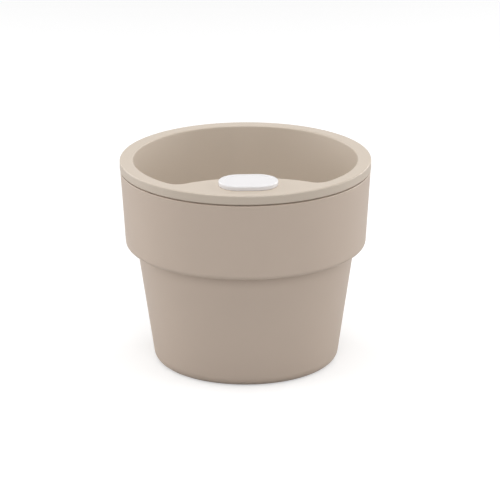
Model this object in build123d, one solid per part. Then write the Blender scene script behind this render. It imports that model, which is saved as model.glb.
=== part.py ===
from build123d import *
import os

# Self-watering planter: an outer pot that holds the water, a liner that hangs in it from its own
# rim and holds the soil, three wicks between the two, and a float gauge in a port in the rim's shelf.
# Millimetres. Origin: centre of the resting face. +Z is up, and the gauge is at the front, -Y.

# ---- Driving dimensions ----

# Rim and opening of the liner
height = 133.8  # resting face to the top of the rim
rim_r = 80.0  # outside of the rim
rim_skirt_h = 6.0  # rim's top to the lower edge of its skirt
rim_skirt_t = 1.6
rim_top_t = 2.2  # top of the rim, and the shelf
rim_edge = 0.9  # rounding of the rim's upper outer edge
rim_w = 8.5  # rim's outside to the opening
opening_edge = 1.0  # rounding of the rim's inner edge
shelf_w = 29.7  # opening's round edge to the middle of the shelf's inner edge
shelf_r = 79.0  # radius of the shelf's inner edge, which bows towards the axis
shelf_corner = 8.5  # rounding where the shelf meets the round wall

# Liner below the rim
liner_t = 2.0  # wall
liner_floor_t = 2.2
liner_base_z = 48.0  # underside of the liner's floor
liner_gap = 1.0  # least space between the liner and the outer pot
shelf_draft = 0.024  # lean of the flat front wall, mm per mm of depth
liner_round = 3.0  # inside, between the wall and the floor
slot_w = 2.6  # drainage slots
slot_l = 11.0
slot_inner_r = 17.0  # centre of the inner ring of slots
slot_margin = 11.0  # liner's wall to the centre of the outer ring of slots
rib_t = 1.6  # ribs under both floors
rib_h = 1.4

# Outer pot
pot_t = 2.4  # wall of the body
collar_t = 3.0  # wall of the collar
collar_z = 77.1  # underside of the collar
rim_overhang = 0.3  # rim's outside to the top of the collar
collar_lean = 3.1  # how far the collar tapers in from its top
collar_step = 7.0  # collar's lower edge to the body under it
body_lean = 11.2  # how far the body tapers in, down to the ground
base_round = 7.0
collar_round = 3.3  # rounding of the collar's lower edge
seam_gap = 0.9  # shadow line between the collar and the rim's skirt
seam_edge = 0.6  # rounding of both edges of that line
spigot_t = 1.4  # lip on the collar that carries the rim
foot_inset = 12.4  # body's edge at the ground to the inside of the foot ring
foot_h = 2.6  # recess under the floor
soft_edge = 0.4  # small roundings

# Drain plug in the floor of the outer pot
drain_r = 6.0
drain_boss_t = 3.0
drain_boss_drop = 1.2
plug_head_r = 8.6
plug_head_t = 1.8
plug_tip_z = 1.4  # end of the plug above the ground
seal_t = 1.0
tab_w = 8.0
tab_h = 8.0
tab_t = 2.0
tab_hole_r = 2.0

# Wicks and their grommets
wick_r = 5.0
wick_margin = 28.0  # liner's round wall to the middle of each wick
wick_foot_gap = 2.0  # end of a wick to the outer pot's floor
wick_rise = 16.0  # wick above the liner's floor
wick_squeeze = 0.15  # how much the grommet nips the wick
grommet_t = 2.4  # wall of the grommet's barrel
grommet_flange_t = 1.6
grommet_flange_w = 2.6
grommet_drop = 6.0  # barrel below the liner's floor
grommet_lip = 0.7  # snap lip below the floor

# Gauge cap, and the port under it
cap_inset = 23.0  # rim's outside to the middle of the cap
cap_l = 37.3
cap_w = 26.2
cap_h = 3.0
cap_edge = 0.9  # rounding of the cap's upper edge
cap_foot_edge = 0.5  # rounding of its lower edge
cap_top_t = 1.4
cap_wall_t = 1.5
cap_cover = 0.8  # how far the cap reaches past the sleeve's recess
dish_depth = 0.3  # shallow hollow in the cap's top
dish_margin = 3.2
port_seat_w = 1.2  # step that the sleeve's flange sits on
port_rim_t = 3.0  # stiffening rim around the port, under the shelf
port_rim_h = 6.0

# Sleeve that drops into the port and guides the gauge
sleeve_t = 1.2
sleeve_flange_t = 1.0
sleeve_l = 26.0
bridge_w = 12.0
bridge_t = 1.6
guide_h = 7.0
guide_t = 1.4

# Float, stem and clip
stem_w = 6.0
stem_t = 2.0
stem_tip = 1.2  # stem below the clip
ear_w = 1.6  # stop ears on each side of the stem
ear_h = 3.0
socket_t = 1.4  # wall of the cap's socket for the stem
socket_h = 6.0
float_low_z = 10.0  # underside of the float with the reservoir empty
float_h = 30.0
float_corner = 1.6
float_edge = 1.2
float_pass = 0.5  # space around the float as it passes through the port
clip_t = 1.4
clip_w = 2.2  # clip's rim around the stem
gauge_travel = 18.0  # empty to full

# Clearances
slip = 0.3  # between pieces that move on each other
snug = 0.1  # between pieces that stay together

# ---- Derived levels and radii ----

opening_r = rim_r - rim_w
shelf_y = opening_r - shelf_w
cap_y = rim_r - cap_inset
collar_top_r = rim_r - rim_overhang
collar_low_r = collar_top_r - collar_lean
waist_r = collar_low_r - collar_step
base_r = waist_r - body_lean
foot_r = base_r - foot_inset

rim_under_z = height - rim_top_t
seam_z = height - rim_skirt_h
collar_top_z = seam_z - seam_gap
skirt_inner_r = rim_r - rim_skirt_t
spigot_r = skirt_inner_r - slip
ledge_z = collar_z + pot_t
pot_floor_z = foot_h + pot_t
liner_floor_z = liner_base_z + liner_floor_t
body_slope = (waist_r - base_r) / collar_z
shelf_centre_y = shelf_y + shelf_r

recess_l = cap_l - 2 * cap_cover
recess_w = cap_w - 2 * cap_cover
port_l = recess_l - 2 * slip - 2 * port_seat_w
port_w = recess_w - 2 * slip - 2 * port_seat_w


def pot_inner_r(z):
    """Inside radius of the outer pot's body at height z."""
    return base_r + body_slope * z - pot_t


def widest_liner_slope():
    """Taper of the liner that clears the outer pot at its ledge and at the liner's floor."""
    tops = opening_r + liner_t
    slopes = [(tops - pot_inner_r(z) + liner_gap) / (height - z) for z in (ledge_z, liner_base_z)]
    return max(slopes)


liner_slope = widest_liner_slope()
liner_floor_r = opening_r - liner_slope * (height - liner_floor_z)
wick_ring_r = liner_floor_r - wick_margin
float_back_y = cap_y - port_w / 2 + float_pass
float_front_y = pot_inner_r(float_low_z) - liner_gap
stem_y = (float_back_y + float_front_y) / 2
guide_low_z = height - sleeve_l - guide_h
stem_low_z = float_low_z - clip_t - stem_tip


# ---- Helpers ----


def turned(corners):
    """Solid of revolution about Z from (radius, height, rounding) corners."""
    points = [(r, z) for r, z, _ in corners]
    outline = FilletPolyline(*points, radius=[rounding for _, _, rounding in corners], close=True)
    return revolve(Plane.XZ * make_face(outline), Axis.Z)


def slot_block(length, width, low, high, y=cap_y):
    """Upright block with a stadium outline, centred on the gauge."""
    return Pos(0, -y, low) * extrude(SlotOverall(length, width), high - low)


def bar(size_x, size_y, low, high, x=0.0, y=0.0):
    """Upright rectangular bar."""
    return Pos(x, y, (low + high) / 2) * Box(size_x, size_y, high - low)


def rod(radius, low, high):
    """Upright round bar on the axis."""
    return Pos(0, 0, low) * extrude(Circle(radius), high - low)


def bowl_plan(z, inset):
    """Outline of the liner at height z: round, with the shelf's bowed wall across the front."""
    depth = height - z
    round_r = opening_r - liner_slope * depth - inset
    front_r = shelf_r + shelf_draft * depth + inset
    plan = Circle(round_r) - Pos(0, -shelf_centre_y) * Circle(front_r)
    return Pos(0, 0, z) * fillet(plan.vertices(), shelf_corner - inset)


def bowl_block(low, high, inset, rounding):
    """Solid between the bowl's outlines at two heights, with its lower edge rounded."""
    block = loft([bowl_plan(low, inset), bowl_plan(high, inset)], ruled=True)
    return fillet(block.edges().group_by(Axis.Z)[0], rounding)


def wick_places():
    """Centres of the wicks: one at the rear and one on each side of the front."""
    return PolarLocations(wick_ring_r, 3, start_angle=90)


# ---- Outer pot ----


def make_outer_pot():
    """Moulded shell with a foot ring, a stepped collar and a lip that carries the rim."""
    collar_inner_low_r = collar_low_r - collar_t
    pot = turned(
        [
            (0, foot_h, 0),
            (foot_r, foot_h, soft_edge),
            (foot_r, 0, soft_edge),
            (base_r, 0, base_round),
            (waist_r, collar_z, soft_edge),
            (collar_low_r, collar_z, collar_round),
            (collar_top_r, collar_top_z, seam_edge),
            (spigot_r, collar_top_z, 0),
            (spigot_r, rim_under_z, soft_edge),
            (spigot_r - spigot_t, rim_under_z, soft_edge),
            (collar_inner_low_r, ledge_z, pot_t),
            (waist_r - pot_t, ledge_z, soft_edge),
            (pot_inner_r(pot_t), pot_t, base_round - pot_t),
            (foot_r + pot_t, pot_t, soft_edge),
            (foot_r + pot_t, pot_floor_z, soft_edge),
            (0, pot_floor_z, 0),
        ]
    )
    boss_r = drain_r + drain_boss_t
    pot += rod(boss_r, foot_h - drain_boss_drop, pot_floor_z)
    rib = bar(foot_r - boss_r + rib_t, rib_t, foot_h - rib_h, foot_h + rib_h / 2, x=(foot_r + boss_r) / 2)
    for spoke in PolarLocations(0, 6):
        pot += spoke * rib
    return pot - rod(drain_r, 0, height)


def make_drain_plug():
    """Soft push-in plug with a pull tab."""
    seat_z = pot_floor_z + seal_t
    top_z = seat_z + plug_head_t
    plug = rod(drain_r - slip, plug_tip_z, seat_z) + rod(plug_head_r, seat_z, top_z)
    plug = chamfer(plug.edges().group_by(Axis.Z)[0], soft_edge)
    plug = fillet(plug.edges().group_by(Axis.Z)[-1], soft_edge)
    tab = bar(tab_w, tab_t, seat_z, top_z + tab_h)
    tab = fillet(tab.edges().group_by(Axis.Z)[-1].filter_by(Axis.Y), tab_w / 2 - soft_edge)
    hole_z = top_z + tab_h - tab_w / 2
    return plug + tab - Pos(0, 0, hole_z) * Rot(90, 0, 0) * Cylinder(tab_hole_r, 2 * tab_t)


def make_plug_seal():
    """Flat washer under the plug's head."""
    outer = rod(plug_head_r, pot_floor_z, pot_floor_z + seal_t)
    return outer - rod(drain_r - slip + snug, 0, height)


# ---- Liner ----


def make_inner_pot():
    """Soil liner: bowl, hollow rim with a skirt, front shelf with the gauge's port, slotted floor."""
    shell = bowl_block(liner_base_z, rim_under_z + rim_top_t / 2, -liner_t, liner_round + liner_t)
    rim = turned(
        [
            (0, rim_under_z, 0),
            (skirt_inner_r, rim_under_z, 0),
            (skirt_inner_r, seam_z, 0),
            (rim_r, seam_z, seam_edge),
            (rim_r, height, rim_edge),
            (0, height, 0),
        ]
    )
    liner = shell + rim - bowl_block(liner_floor_z, height, 0, liner_round)
    liner = fillet(liner.edges().group_by(Axis.Z)[-1].filter_by(is_inner), opening_edge)
    liner += slot_block(
        port_l + 2 * port_rim_t, port_w + 2 * port_rim_t, rim_under_z - port_rim_h, rim_under_z + 0.5
    )
    liner -= slot_block(port_l, port_w, liner_base_z, height + 1)
    liner -= slot_block(recess_l, recess_w, height - sleeve_flange_t, height + 1)
    return cut_liner_floor(liner)


def is_inner(edge):
    """True for the edges of the opening, which lie inside the rim's outer edge."""
    point = edge @ 0.5
    return (point.X**2 + point.Y**2) ** 0.5 < (opening_r + rim_r) / 2


def cut_liner_floor(liner):
    """Adds the ribs under the floor, then cuts the wick holes and the rings of drainage slots."""
    hole_r = wick_r + grommet_t + snug
    outer_slot_r = liner_floor_r - slot_margin
    for spoke in PolarLocations(0, 3, start_angle=90):
        liner += spoke * bar(wick_ring_r, rib_t, liner_base_z - rib_h, liner_base_z + 1, x=wick_ring_r / 2)
    low = liner_base_z - 2 * rib_h
    drains = Sketch() + [
        place * SlotOverall(slot_l, slot_w) for place in PolarLocations(slot_inner_r, 3, start_angle=30)
    ]
    drains += [
        place * SlotOverall(slot_l, slot_w, rotation=90)
        for place in PolarLocations(outer_slot_r, 9, start_angle=-20, angular_range=220, endpoint=True)
    ]
    holes = Sketch() + [place * Circle(hole_r) for place in wick_places()]
    return liner - Pos(0, 0, low) * extrude(drains + holes, liner_floor_z + 1 - low)


def make_wick(place):
    """Straight rod of bonded fibre, from just above the reservoir's floor into the soil."""
    wick = place * rod(wick_r, pot_floor_z + wick_foot_gap, liner_floor_z + wick_rise)
    return fillet(wick.edges().group_by(Axis.Z)[-1], soft_edge)


def make_wick_grommet(place):
    """Flanged bush that snaps into the liner's floor and nips the wick."""
    barrel_r = wick_r + grommet_t
    lip_z = liner_base_z - snug
    flange = rod(barrel_r + grommet_flange_w, liner_floor_z, liner_floor_z + grommet_flange_t)
    flange = fillet(flange.edges().group_by(Axis.Z)[-1], soft_edge)
    barrel = rod(barrel_r, liner_base_z - grommet_drop, liner_floor_z)
    lip = Pos(0, 0, lip_z - grommet_lip) * Cone(barrel_r, barrel_r + grommet_lip, 2 * grommet_lip)
    return place * (flange + barrel + lip - rod(wick_r - wick_squeeze, 0, height))


# ---- Gauge ----


def make_gauge_sleeve():
    """Drop-in sleeve: flange flush with the shelf, open tube, and a bridge that guides the stem."""
    low = height - sleeve_l
    tube_l = port_l - 2 * slip
    tube_w = port_w - 2 * slip
    inner_l = tube_l - 2 * sleeve_t
    inner_w = tube_w - 2 * sleeve_t
    sleeve = slot_block(recess_l - 2 * slip, recess_w - 2 * slip, height - sleeve_flange_t, height)
    sleeve += slot_block(tube_l, tube_w, low, height)
    sleeve -= slot_block(inner_l, inner_w, low - 1, height + 1)
    bridge = bar(bridge_w, 2 * tube_w, low, low + bridge_t, y=-cap_y) & slot_block(tube_l, tube_w, low, height)
    guide_x = stem_w + 2 * (slip + guide_t)
    guide_y = stem_t + 2 * (slip + guide_t)
    guide = bar(guide_x, guide_y, guide_low_z, low + bridge_t, y=-stem_y)
    opening = bar(stem_w + 2 * slip, stem_t + 2 * slip, guide_low_z - 1, height, y=-stem_y)
    return sleeve + bridge + guide - opening


def make_gauge_cap():
    """Oval head of the gauge, hollow below, with a socket for the stem."""
    cap = slot_block(cap_l, cap_w, height, height + cap_h)
    cap = fillet(cap.edges().group_by(Axis.Z)[-1], cap_edge)
    cap = fillet(cap.edges().group_by(Axis.Z)[0], cap_foot_edge)
    dish = slot_block(
        cap_l - 2 * dish_margin, cap_w - 2 * dish_margin, height + cap_h - dish_depth, height + cap_h + 1
    )
    cap -= fillet(dish.edges().group_by(Axis.Z)[0], dish_depth * 0.9)
    hollow_l = cap_l - 2 * cap_wall_t
    hollow_w = cap_w - 2 * cap_wall_t
    cap -= slot_block(hollow_l, hollow_w, height - 1, height + cap_h - dish_depth - cap_top_t)
    socket_x = stem_w + 2 * socket_t
    socket_y = stem_t + 2 * socket_t
    cap += bar(socket_x, socket_y, height - socket_h, height + cap_h - dish_depth - cap_top_t / 2, y=-stem_y)
    return cap - bar(stem_w, stem_t, height - socket_h - 1, height, y=-stem_y)


def make_gauge_stem():
    """Flat stem with two stop ears that meet the guide when the reservoir is full."""
    ear_top_z = guide_low_z - gauge_travel
    stem = bar(stem_w, stem_t, stem_low_z, height, y=-stem_y)
    stem += bar(stem_w + 2 * ear_w, stem_t, ear_top_z - ear_h, ear_top_z, y=-stem_y)
    shoulder_z = float_low_z + float_h
    return stem + bar(stem_w + 2 * ear_w, stem_t, shoulder_z, shoulder_z + ear_h, y=-stem_y)


def make_gauge_float():
    """Foam block that passes through the port and clears the outer pot's wall."""
    port = Pos(0, -cap_y) * SlotOverall(port_l - 2 * float_pass, port_w - 2 * float_pass)
    plan = port & Circle(float_front_y)
    plan = fillet(plan.vertices().group_by(Axis.X)[0] + plan.vertices().group_by(Axis.X)[-1], float_corner)
    block = Pos(0, 0, float_low_z) * extrude(plan, float_h)
    block = fillet(block.edges().group_by(Axis.Z)[0] + block.edges().group_by(Axis.Z)[-1], float_edge)
    return block - bar(stem_w, stem_t, 0, height, y=-stem_y)


def make_float_clip():
    """Clip on the stem that keeps the float up against the stem's shoulder."""
    low = float_low_z - clip_t
    clip = slot_block(stem_w + 2 * clip_w, stem_t + 2 * clip_w, low, float_low_z, y=stem_y)
    return clip - bar(stem_w, stem_t, 0, height, y=-stem_y)


# ---- Export ----

nodes = {
    "outer_pot": make_outer_pot(),
    "drain_plug": make_drain_plug(),
    "plug_seal": make_plug_seal(),
    "inner_pot": make_inner_pot(),
    "gauge_sleeve": make_gauge_sleeve(),
    "gauge_cap": make_gauge_cap(),
    "gauge_stem": make_gauge_stem(),
    "gauge_float": make_gauge_float(),
    "float_clip": make_float_clip(),
}
for side, place in zip(("rear", "left", "right"), wick_places()):
    nodes["wick_" + side] = make_wick(place)
    nodes["wick_grommet_" + side] = make_wick_grommet(place)

os.makedirs("parts", exist_ok=True)
for name, solid in nodes.items():
    export_step(solid, "parts/" + name + ".step")
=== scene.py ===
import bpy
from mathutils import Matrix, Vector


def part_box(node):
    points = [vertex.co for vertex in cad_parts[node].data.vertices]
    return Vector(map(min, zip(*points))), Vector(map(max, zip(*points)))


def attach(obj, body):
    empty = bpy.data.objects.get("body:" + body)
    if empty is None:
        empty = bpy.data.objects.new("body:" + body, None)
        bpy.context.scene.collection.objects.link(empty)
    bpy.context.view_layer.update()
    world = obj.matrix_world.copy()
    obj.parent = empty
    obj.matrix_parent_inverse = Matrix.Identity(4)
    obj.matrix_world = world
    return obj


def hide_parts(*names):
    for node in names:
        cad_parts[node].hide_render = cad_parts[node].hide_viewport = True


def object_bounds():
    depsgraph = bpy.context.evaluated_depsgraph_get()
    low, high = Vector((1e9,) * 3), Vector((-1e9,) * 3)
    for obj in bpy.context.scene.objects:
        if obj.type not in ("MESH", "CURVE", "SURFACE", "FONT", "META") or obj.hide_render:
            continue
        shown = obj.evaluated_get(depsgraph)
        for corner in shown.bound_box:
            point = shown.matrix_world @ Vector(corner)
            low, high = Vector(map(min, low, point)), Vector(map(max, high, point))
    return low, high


bl_info = {
    "name": "Self-watering planter",
    "version": (1, 0, 0),
    "blender": (4, 5, 0),
    "location": "View3D > Sidebar > Planter",
    "description": "Finishes, fibre wicks and a studio for a self-watering planter",
    "category": "Object",
}

import math

import bmesh
import bpy
from mathutils import Matrix, Quaternion, Vector, noise

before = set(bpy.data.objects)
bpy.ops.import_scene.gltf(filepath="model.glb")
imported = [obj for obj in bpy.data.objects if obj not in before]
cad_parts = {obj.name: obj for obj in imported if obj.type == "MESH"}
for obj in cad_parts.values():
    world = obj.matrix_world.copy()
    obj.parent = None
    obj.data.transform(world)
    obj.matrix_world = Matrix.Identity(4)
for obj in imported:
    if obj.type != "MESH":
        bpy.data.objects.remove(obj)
CAD_LOW, CAD_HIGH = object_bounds()

MM = 0.001

WICK_SIDES = ("rear", "left", "right")
WICK_SEGMENTS = 96  # points round a wick
WICK_CUTS = 60  # rings of points along a wick
WICK_END_INSETS = (0.12, 0.25, 0.35, 0.2)  # steps between the rings of points on its ends, in radii
WICK_EDGE = 0.9  # points further out than this part of the radius are on its side
WICK_FRAY = 2  # how many times as far the fibres stand out at its ends
WICK_SMOOTH = 60  # edges with a sharper angle than this, in degrees, stay sharp
RIDGE_WIDTH = 0.9 * MM  # ridge of fibres on a wick
RIDGE_LENGTH = 9 * MM
FIBRE_STRETCH = 0.06  # scale of the fibre pattern along a wick, so that the fibres run along it

COLOUR_DRIFT = 0.015  # how far moulded plastic's colour drifts to each side
GLOSS_DRIFT = 0.05  # how far its roughness drifts to each side
FLOW_DEPTH = 0.02 * MM  # depth of the waves that the melt's flow leaves
MIX_DARK, MIX_LIGHT, MIX_RESULT = 6, 7, 2  # colour sockets of the mix node, whose names repeat

FLOOR_SIZE = 6  # metres
SENSOR_WIDTH = 36  # millimetres


def linear(hex_colour):
    """sRGB hex colour, such as #c0b0a0, as linear red, green and blue."""
    channels = [int(hex_colour[i : i + 2], 16) / 255 for i in (1, 3, 5)]
    return [c / 12.92 if c <= 0.04045 else ((c + 0.055) / 1.055) ** 2.4 for c in channels]


# ---- Properties ----


def colour_property(name, description, hex_colour):
    """A colour that the user can change, from its sRGB hex value."""
    return bpy.props.FloatVectorProperty(
        name=name, description=description, subtype="COLOR", min=0, max=1, default=linear(hex_colour)
    )


def length_property(name, description, millimetres):
    """A length that the user can change."""
    return bpy.props.FloatProperty(
        name=name, description=description, default=millimetres * MM, unit="LENGTH"
    )


def angle_property(name, description, radians):
    """An angle that the user can change."""
    return bpy.props.FloatProperty(name=name, description=description, default=radians, subtype="ANGLE")


def number_property(name, description, value):
    """A plain number, such as a lamp's power, that the user can change."""
    return bpy.props.FloatProperty(name=name, description=description, default=value)


class PlanterColours(bpy.types.PropertyGroup):
    """Colours of the planter's materials."""

    pot: colour_property("Pot", "Greige polypropylene of the outer pot", "#c6b5a6")
    # The liner is the pot's greige painted lighter: painted light that brightens the inside of the bowl.
    # The sleeve shares this colour.
    liner: colour_property("Liner", "Greige polypropylene of the liner and the sleeve", "#c7baab")
    cap: colour_property("Cap", "White polypropylene of the gauge's cap", "#e2e0e1")
    stem: colour_property("Stem", "Natural polypropylene of the stem and its clip", "#e4e2de")
    foam: colour_property("Foam", "Expanded foam of the float", "#ecebe6")
    grommet: colour_property("Grommets", "Darker polypropylene of the wick grommets", "#94867b")
    wick: colour_property("Wicks", "Undyed polyester fibre", "#d9d5cb")
    rubber: colour_property("Drain plug", "Thermoplastic rubber of the plug and its seal", "#3b3a39")


class PlanterSizes(bpy.types.PropertyGroup):
    """Sizes of the surface detail."""

    # The real grain is about 0.1 mm, too fine to show, so it is drawn about five times as coarse.
    spark_grain: length_property("Spark grain", "Pitch of the mould's spark-eroded grain", 0.55)
    flow_wave: length_property("Flow wave", "Width of the faint waves that the melt's flow leaves", 24)
    foam_bead: length_property("Foam bead", "Width of one bead of the float's foam", 2.4)
    # One fibre is about 0.03 mm, too fine to show, so bundles of fibres are drawn.
    fibre_width: length_property("Fibre bundle", "Width of a bundle of fibres in a wick", 0.45)
    wick_fuzz: length_property("Wick fuzz", "How far the wick's fibres stand in and out", 0.12)


class PlanterStage(bpy.types.PropertyGroup):
    """Camera and light."""

    distance: length_property("Distance", "Camera to the point that it looks at", 2419)
    aim_x: length_property("Aim across", "Point that the camera looks at, across", 2.7)
    aim_z: length_property("Aim height", "Point that the camera looks at, above the floor", 71.9)
    elevation: angle_property("Elevation", "Camera above the horizon", math.radians(18.53))
    azimuth: angle_property("Azimuth", "Camera round the planter", math.radians(-1.8))
    roll: angle_property("Roll", "Camera's tilt about its view", -0.0033)
    lens: bpy.props.FloatProperty(
        name="Lens", description="Focal length on a 36 mm sensor", default=271.7, unit="CAMERA"
    )
    ambient: number_property("Ambient", "Strength of the room's white light", 0.05)
    overhead: number_property("Overhead", "Overhead softbox, watts", 14.5)
    sides: number_property("Sides", "Each side softbox, watts", 5.6)
    rims: number_property("Rims", "Each softbox behind the sides, watts", 9.8)
    front: number_property("Front", "High front softbox, watts", 11.5)
    floor_white: number_property("Floor", "How much light the floor returns", 0.6)
    floor_lift: number_property("Floor lift", "White added to the floor where the camera sees it", 0.5)


# ---- Materials ----


def new_material(name):
    """A material with an empty node tree."""
    material = bpy.data.materials.new(name)
    material.use_nodes = True
    material.node_tree.nodes.clear()
    return material


def add(tree, kind, settings=None, links=None):
    """Adds a node. Settings are its attributes or input values, and links are its inputs' sources."""
    node = tree.nodes.new(kind)
    for key, value in (settings or {}).items():
        if isinstance(key, int) or key in node.inputs:
            node.inputs[key].default_value = value
        else:
            setattr(node, key, value)
    for key, source in (links or {}).items():
        tree.links.new(source, node.inputs[key])
    return node


def object_points(tree):
    """Object coordinates, in metres."""
    return add(tree, "ShaderNodeTexCoord").outputs["Object"]


def shaded(tree, base, dark, light, factor):
    """Mixes two tints of a base colour by a factor."""
    mix = add(
        tree,
        "ShaderNodeMix",
        {
            "data_type": "RGBA",
            MIX_DARK: [c * dark for c in base] + [1],
            MIX_LIGHT: [min(1, c * light) for c in base] + [1],
        },
        {0: factor},
    )
    return mix.outputs[MIX_RESULT]


def finish_material(material, settings, links):
    """Adds the surface shader and the output."""
    tree = material.node_tree
    shader = add(tree, "ShaderNodeBsdfPrincipled", settings, links)
    add(tree, "ShaderNodeOutputMaterial", links={"Surface": shader.outputs[0]})
    return material


def moulded_polypropylene(name, colour, roughness, grain_depth):
    """Injection-moulded polypropylene from a spark-eroded mould, with its grain's depth in millimetres.

    The eye sees an even satin skin: a fine grain that softens highlights, faint broad flow waves,
    and a colour that drifts by one or two percent where the melt cooled at different speeds.
    """
    sizes = bpy.context.scene.planter_sizes
    material = new_material(name)
    tree = material.node_tree
    points = object_points(tree)
    drift = add(tree, "ShaderNodeTexNoise", {"Scale": 1 / sizes.flow_wave, "Detail": 2}, {"Vector": points})
    grain = add(
        tree, "ShaderNodeTexNoise", {"Scale": 1 / sizes.spark_grain, "Detail": 2.5}, {"Vector": points}
    )
    tint = shaded(tree, colour, 1 - COLOUR_DRIFT, 1 + COLOUR_DRIFT, drift.outputs[0])
    gloss = add(
        tree,
        "ShaderNodeMapRange",
        {"To Min": roughness - GLOSS_DRIFT, "To Max": roughness + GLOSS_DRIFT},
        {"Value": drift.outputs[0]},
    )
    waves = add(
        tree, "ShaderNodeBump", {"Strength": 1, "Distance": FLOW_DEPTH}, {"Height": drift.outputs[0]}
    )
    bump = add(
        tree,
        "ShaderNodeBump",
        {"Strength": 1, "Distance": grain_depth * MM},
        {"Height": grain.outputs[0], "Normal": waves.outputs[0]},
    )
    return finish_material(
        material,
        {"IOR": 1.49},
        {"Base Color": tint, "Roughness": gloss.outputs[0], "Normal": bump.outputs[0]},
    )


def expanded_foam(name, colour):
    """Moulded bead foam: swollen beads pressed flat against each other, with a dimple where they meet."""
    sizes = bpy.context.scene.planter_sizes
    material = new_material(name)
    tree = material.node_tree
    points = object_points(tree)
    beads = add(
        tree,
        "ShaderNodeTexVoronoi",
        {"Scale": 1 / sizes.foam_bead, "feature": "DISTANCE_TO_EDGE"},
        {"Vector": points},
    )
    seam = add(tree, "ShaderNodeMapRange", {"From Max": 0.16}, {"Value": beads.outputs[0]})
    tint = shaded(tree, colour, dark=0.86, light=1.0, factor=seam.outputs[0])
    bump = add(tree, "ShaderNodeBump", {"Strength": 1, "Distance": 0.12 * MM}, {"Height": seam.outputs[0]})
    return finish_material(
        material, {"Roughness": 0.75}, {"Base Color": tint, "Normal": bump.outputs[0]}
    )


def bonded_polyester(name, colour):
    """Bonded polyester wick: bundles of fine fibre run along it, matt, with darker gaps between them."""
    sizes = bpy.context.scene.planter_sizes
    material = new_material(name)
    tree = material.node_tree
    along = add(
        tree, "ShaderNodeMapping", {"Scale": (1, 1, FIBRE_STRETCH)}, {"Vector": object_points(tree)}
    ).outputs[0]
    fibres = add(
        tree, "ShaderNodeTexNoise", {"Scale": 1 / sizes.fibre_width, "Detail": 4}, {"Vector": along}
    )
    tint = shaded(tree, colour, dark=0.72, light=1.08, factor=fibres.outputs[0])
    bump = add(tree, "ShaderNodeBump", {"Strength": 1, "Distance": 0.2 * MM}, {"Height": fibres.outputs[0]})
    return finish_material(
        material,
        {"Roughness": 0.95, "Sheen Weight": 0.25},
        {"Base Color": tint, "Normal": bump.outputs[0]},
    )


def thermoplastic_rubber(name, colour):
    """Moulded soft rubber: dark, matt, with a fine grain that catches a weak highlight."""
    sizes = bpy.context.scene.planter_sizes
    material = new_material(name)
    tree = material.node_tree
    grain = add(
        tree,
        "ShaderNodeTexNoise",
        {"Scale": 1 / sizes.spark_grain, "Detail": 3},
        {"Vector": object_points(tree)},
    )
    tint = shaded(tree, colour, dark=0.85, light=1.15, factor=grain.outputs[0])
    bump = add(tree, "ShaderNodeBump", {"Strength": 1, "Distance": 0.02 * MM}, {"Height": grain.outputs[0]})
    return finish_material(
        material, {"Roughness": 0.68}, {"Base Color": tint, "Normal": bump.outputs[0]}
    )


def paint_node(name, material):
    """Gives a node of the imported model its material."""
    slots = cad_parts[name].data.materials
    slots.clear()
    slots.append(material)


# ---- Mesh helpers ----


def add_piece(name, mesh, material, body, smooth_angle):
    """Turns a bmesh into an object in the frame, with its material, body and material slot."""
    data = bpy.data.meshes.new(name)
    mesh.to_mesh(data)
    mesh.free()
    data.shade_smooth()
    data.set_sharp_from_angle(angle=math.radians(smooth_angle))
    data.materials.append(material)
    piece = bpy.data.objects.new(name, data)
    bpy.context.scene.collection.objects.link(piece)
    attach(piece, body)
    return piece


# ---- Operators ----


class PLANTER_OT_outer_pot(bpy.types.Operator):
    """Finish the outer pot"""

    bl_idname = "planter.outer_pot"
    bl_label = "Outer pot"

    def execute(self, context):
        colours = context.scene.planter_colours
        skin = moulded_polypropylene(
            "spark_eroded_polypropylene_pot", colours.pot, roughness=0.46, grain_depth=0.018
        )
        paint_node("outer_pot", skin)
        return {"FINISHED"}


class PLANTER_OT_liner(bpy.types.Operator):
    """Finish the liner"""

    bl_idname = "planter.liner"
    bl_label = "Liner"

    def execute(self, context):
        colours = context.scene.planter_colours
        # The liner's colour is lighter than the pot's: painted light on the inside of the bowl.
        skin = moulded_polypropylene(
            "spark_eroded_polypropylene_liner_painted_lighter", colours.liner, roughness=0.44, grain_depth=0.016
        )
        paint_node("inner_pot", skin)
        grommets = moulded_polypropylene(
            "moulded_polypropylene_grommet", colours.grommet, roughness=0.4, grain_depth=0.01
        )
        for side in WICK_SIDES:
            paint_node("wick_grommet_" + side, grommets)
        return {"FINISHED"}


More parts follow.
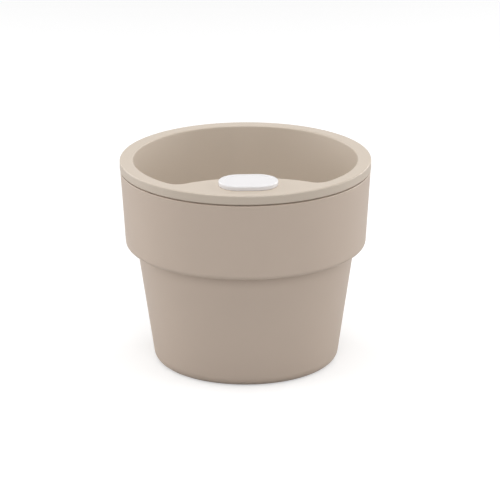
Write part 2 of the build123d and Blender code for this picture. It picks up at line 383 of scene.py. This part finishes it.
class PLANTER_OT_wicks(bpy.types.Operator):
    """Replace the plain wicks by rods of bonded fibre"""

    bl_idname = "planter.wicks"
    bl_label = "Wicks"

    def execute(self, context):
        fibre = bonded_polyester("bonded_polyester_wick", context.scene.planter_colours.wick)
        for side in WICK_SIDES:
            self.make_wick("wick_" + side, fibre, context.scene.planter_sizes)
        return {"FINISHED"}

    def make_wick(self, node, fibre, sizes):
        """One rod with ridges of fibre along it and softened, slightly frayed ends."""
        low, high = (Vector(corner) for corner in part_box(node))
        centre = (low + high) / 2
        radius = (high.x - low.x) / 2 - sizes.wick_fuzz
        mesh = bmesh.new()
        bmesh.ops.create_cone(
            mesh,
            cap_ends=True,
            cap_tris=False,
            segments=WICK_SEGMENTS,
            radius1=radius,
            radius2=radius,
            depth=high.z - low.z - 2 * sizes.wick_fuzz,
            matrix=Matrix.Translation(centre),
        )
        ends = [face for face in mesh.faces if len(face.verts) == WICK_SEGMENTS]
        for end in ends:
            for inset in WICK_END_INSETS:
                bmesh.ops.inset_region(mesh, faces=[end], thickness=inset * radius)
        half = (high.z - low.z) / 2
        sides = [edge for edge in mesh.edges if abs(edge.verts[0].co.z - edge.verts[1].co.z) > half]
        bmesh.ops.subdivide_edges(mesh, edges=sides, cuts=WICK_CUTS, use_grid_fill=True)
        for vert in mesh.verts:
            out = Vector((vert.co.x - centre.x, vert.co.y - centre.y, 0))
            ridge = noise.noise(
                Vector((vert.co.x / RIDGE_WIDTH, vert.co.y / RIDGE_WIDTH, vert.co.z / RIDGE_LENGTH))
            )
            if out.length > WICK_EDGE * radius:
                vert.co += out.normalized() * ridge * sizes.wick_fuzz
            else:
                vert.co.z += ridge * WICK_FRAY * sizes.wick_fuzz
        bmesh.ops.recalc_face_normals(mesh, faces=mesh.faces)
        wick = add_piece(node + "_fibre", mesh, fibre, "inner_pot", WICK_SMOOTH)
        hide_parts(node)


class PLANTER_OT_gauge(bpy.types.Operator):
    """Finish the gauge's cap, stem, clip, float and sleeve"""

    bl_idname = "planter.gauge"
    bl_label = "Water gauge"

    def execute(self, context):
        colours = context.scene.planter_colours
        cap = moulded_polypropylene(
            "satin_polypropylene_cap", colours.cap, roughness=0.34, grain_depth=0.004
        )
        paint_node("gauge_cap", cap)
        stem = moulded_polypropylene(
            "natural_polypropylene_stem", colours.stem, roughness=0.38, grain_depth=0.004
        )
        paint_node("gauge_stem", stem)
        paint_node("float_clip", stem)
        paint_node("gauge_float", expanded_foam("expanded_foam_float", colours.foam))
        # The sleeve takes the liner's lightened colour, which is painted light.
        sleeve = moulded_polypropylene(
            "moulded_polypropylene_sleeve", colours.liner, roughness=0.4, grain_depth=0.01
        )
        paint_node("gauge_sleeve", sleeve)
        return {"FINISHED"}


class PLANTER_OT_drain_plug(bpy.types.Operator):
    """Finish the drain plug and its seal"""

    bl_idname = "planter.drain_plug"
    bl_label = "Drain plug"

    def execute(self, context):
        rubber = thermoplastic_rubber("thermoplastic_rubber_plug", context.scene.planter_colours.rubber)
        paint_node("drain_plug", rubber)
        paint_node("plug_seal", rubber)
        return {"FINISHED"}


class PLANTER_OT_stage(bpy.types.Operator):
    """Make the floor, the white surroundings, the softboxes and the camera"""

    bl_idname = "planter.stage"
    bl_label = "Stage"

    def execute(self, context):
        stage = context.scene.planter_stage
        self.make_floor(stage)
        self.make_room(context.scene, stage)
        self.make_lamps(stage)
        self.make_camera(context.scene, stage)
        context.scene.view_settings.view_transform = "Standard"
        return {"FINISHED"}

    def make_floor(self, stage):
        """A white floor that keeps the soft shadow, and that the camera sees through from below."""
        mesh = bmesh.new()
        bmesh.ops.create_grid(mesh, x_segments=1, y_segments=1, size=FLOOR_SIZE)
        data = bpy.data.meshes.new("studio_floor")
        mesh.to_mesh(data)
        mesh.free()
        floor = bpy.data.objects.new("studio_floor", data)
        bpy.context.scene.collection.objects.link(floor)
        data.materials.append(self.floor_material(stage))

    def floor_material(self, stage):
        """White paper, lifted towards pure white where the camera sees it directly."""
        material = new_material("studio_paper")
        tree = material.node_tree
        paper = add(tree, "ShaderNodeBsdfDiffuse", {"Color": [stage.floor_white] * 3 + [1]})
        glow = add(tree, "ShaderNodeEmission", {"Strength": stage.floor_lift})
        lifted = add(tree, "ShaderNodeAddShader", links={0: paper.outputs[0], 1: glow.outputs[0]})
        rays = add(tree, "ShaderNodeLightPath")
        seen = add(
            tree,
            "ShaderNodeMixShader",
            links={0: rays.outputs["Is Camera Ray"], 1: paper.outputs[0], 2: lifted.outputs[0]},
        )
        clear = add(tree, "ShaderNodeBsdfTransparent")
        side = add(tree, "ShaderNodeNewGeometry")
        both = add(
            tree,
            "ShaderNodeMixShader",
            links={0: side.outputs["Backfacing"], 1: seen.outputs[0], 2: clear.outputs[0]},
        )
        add(tree, "ShaderNodeOutputMaterial", links={"Surface": both.outputs[0]})
        return material

    def make_room(self, scene, stage):
        """White surroundings: full white where they are seen or mirrored, softer as light."""
        world = bpy.data.worlds.new("studio_room")
        world.use_nodes = True
        tree = world.node_tree
        tree.nodes.clear()
        rays = add(tree, "ShaderNodeLightPath")
        direct = add(
            tree,
            "ShaderNodeMath",
            {"operation": "MAXIMUM"},
            {0: rays.outputs["Is Camera Ray"], 1: rays.outputs["Is Glossy Ray"]},
        )
        seen = add(
            tree,
            "ShaderNodeMath",
            {"operation": "MAXIMUM"},
            {0: direct.outputs[0], 1: rays.outputs["Is Transmission Ray"]},
        )
        strength = add(
            tree, "ShaderNodeMapRange", {"To Min": stage.ambient, "To Max": 1}, {"Value": seen.outputs[0]}
        )
        room = add(
            tree, "ShaderNodeBackground", {"Color": (1, 1, 1, 1)}, {"Strength": strength.outputs[0]}
        )
        add(tree, "ShaderNodeOutputWorld", links={"Surface": room.outputs[0]})
        scene.world = world

    def make_lamps(self, stage):
        """An overhead softbox, two at each side and one high at the front."""
        middle = Vector((0, 0, CAD_HIGH.z / 2))
        # Name, place, width and power of each square lamp.
        lamps = (
            ("overhead_softbox", Vector((0, -0.1, 1.5)), 1.2, stage.overhead),
            ("left_softbox", Vector((-1.4, -0.25, 0.5)), 0.9, stage.sides),
            ("right_softbox", Vector((1.4, -0.25, 0.5)), 0.9, stage.sides),
            ("left_rim_softbox", Vector((-1.3, 0.75, 0.45)), 0.8, stage.rims),
            ("right_rim_softbox", Vector((1.3, 0.75, 0.45)), 0.8, stage.rims),
            ("front_softbox", Vector((0, -1.5, 1.15)), 1.0, stage.front),
        )
        for name, place, size, power in lamps:
            data = bpy.data.lights.new(name, "AREA")
            data.shape = "SQUARE"
            data.size = size
            data.energy = power
            lamp = bpy.data.objects.new(name, data)
            lamp.location = place
            lamp.rotation_mode = "QUATERNION"
            lamp.rotation_quaternion = (place - middle).to_track_quat("Z", "Y")
            bpy.context.scene.collection.objects.link(lamp)

    def make_camera(self, scene, stage):
        """A long lens above the front."""
        level = math.cos(stage.elevation)
        back = Vector(
            (math.sin(stage.azimuth) * level, -math.cos(stage.azimuth) * level, math.sin(stage.elevation))
        )
        data = bpy.data.cameras.new("studio_camera")
        data.sensor_width = SENSOR_WIDTH
        data.lens = stage.lens
        camera = bpy.data.objects.new("studio_camera", data)
        camera.location = Vector((stage.aim_x, 0, stage.aim_z)) + back * stage.distance
        camera.rotation_mode = "QUATERNION"
        camera.rotation_quaternion = back.to_track_quat("Z", "Y") @ Quaternion((0, 0, 1), stage.roll)
        scene.collection.objects.link(camera)
        scene.camera = camera


OPERATORS = (
    PLANTER_OT_outer_pot,
    PLANTER_OT_liner,
    PLANTER_OT_wicks,
    PLANTER_OT_gauge,
    PLANTER_OT_drain_plug,
    PLANTER_OT_stage,
)
GROUPS = {"planter_colours": PlanterColours, "planter_sizes": PlanterSizes, "planter_stage": PlanterStage}


class PLANTER_PT_panel(bpy.types.Panel):
    """Sizes, colours and steps of the planter"""

    bl_label = "Planter"
    bl_idname = "PLANTER_PT_panel"
    bl_space_type = "VIEW_3D"
    bl_region_type = "UI"
    bl_category = "Planter"

    def draw(self, context):
        for group in GROUPS:
            box = self.layout.box()
            settings = getattr(context.scene, group)
            for name in settings.__annotations__:
                box.prop(settings, name)
        for operator in OPERATORS:
            self.layout.operator(operator.bl_idname)


def register():
    for name, group in GROUPS.items():
        bpy.utils.register_class(group)
        setattr(bpy.types.Scene, name, bpy.props.PointerProperty(type=group))
    for cls in (*OPERATORS, PLANTER_PT_panel):
        bpy.utils.register_class(cls)


def unregister():
    for cls in (PLANTER_PT_panel, *reversed(OPERATORS)):
        bpy.utils.unregister_class(cls)
    for name, group in GROUPS.items():
        delattr(bpy.types.Scene, name)
        bpy.utils.unregister_class(group)


def main():
    register()
    bpy.ops.planter.outer_pot()
    bpy.ops.planter.liner()
    bpy.ops.planter.wicks()
    bpy.ops.planter.gauge()
    bpy.ops.planter.drain_plug()
    bpy.ops.planter.stage()


if __name__ == "__main__":
    main()
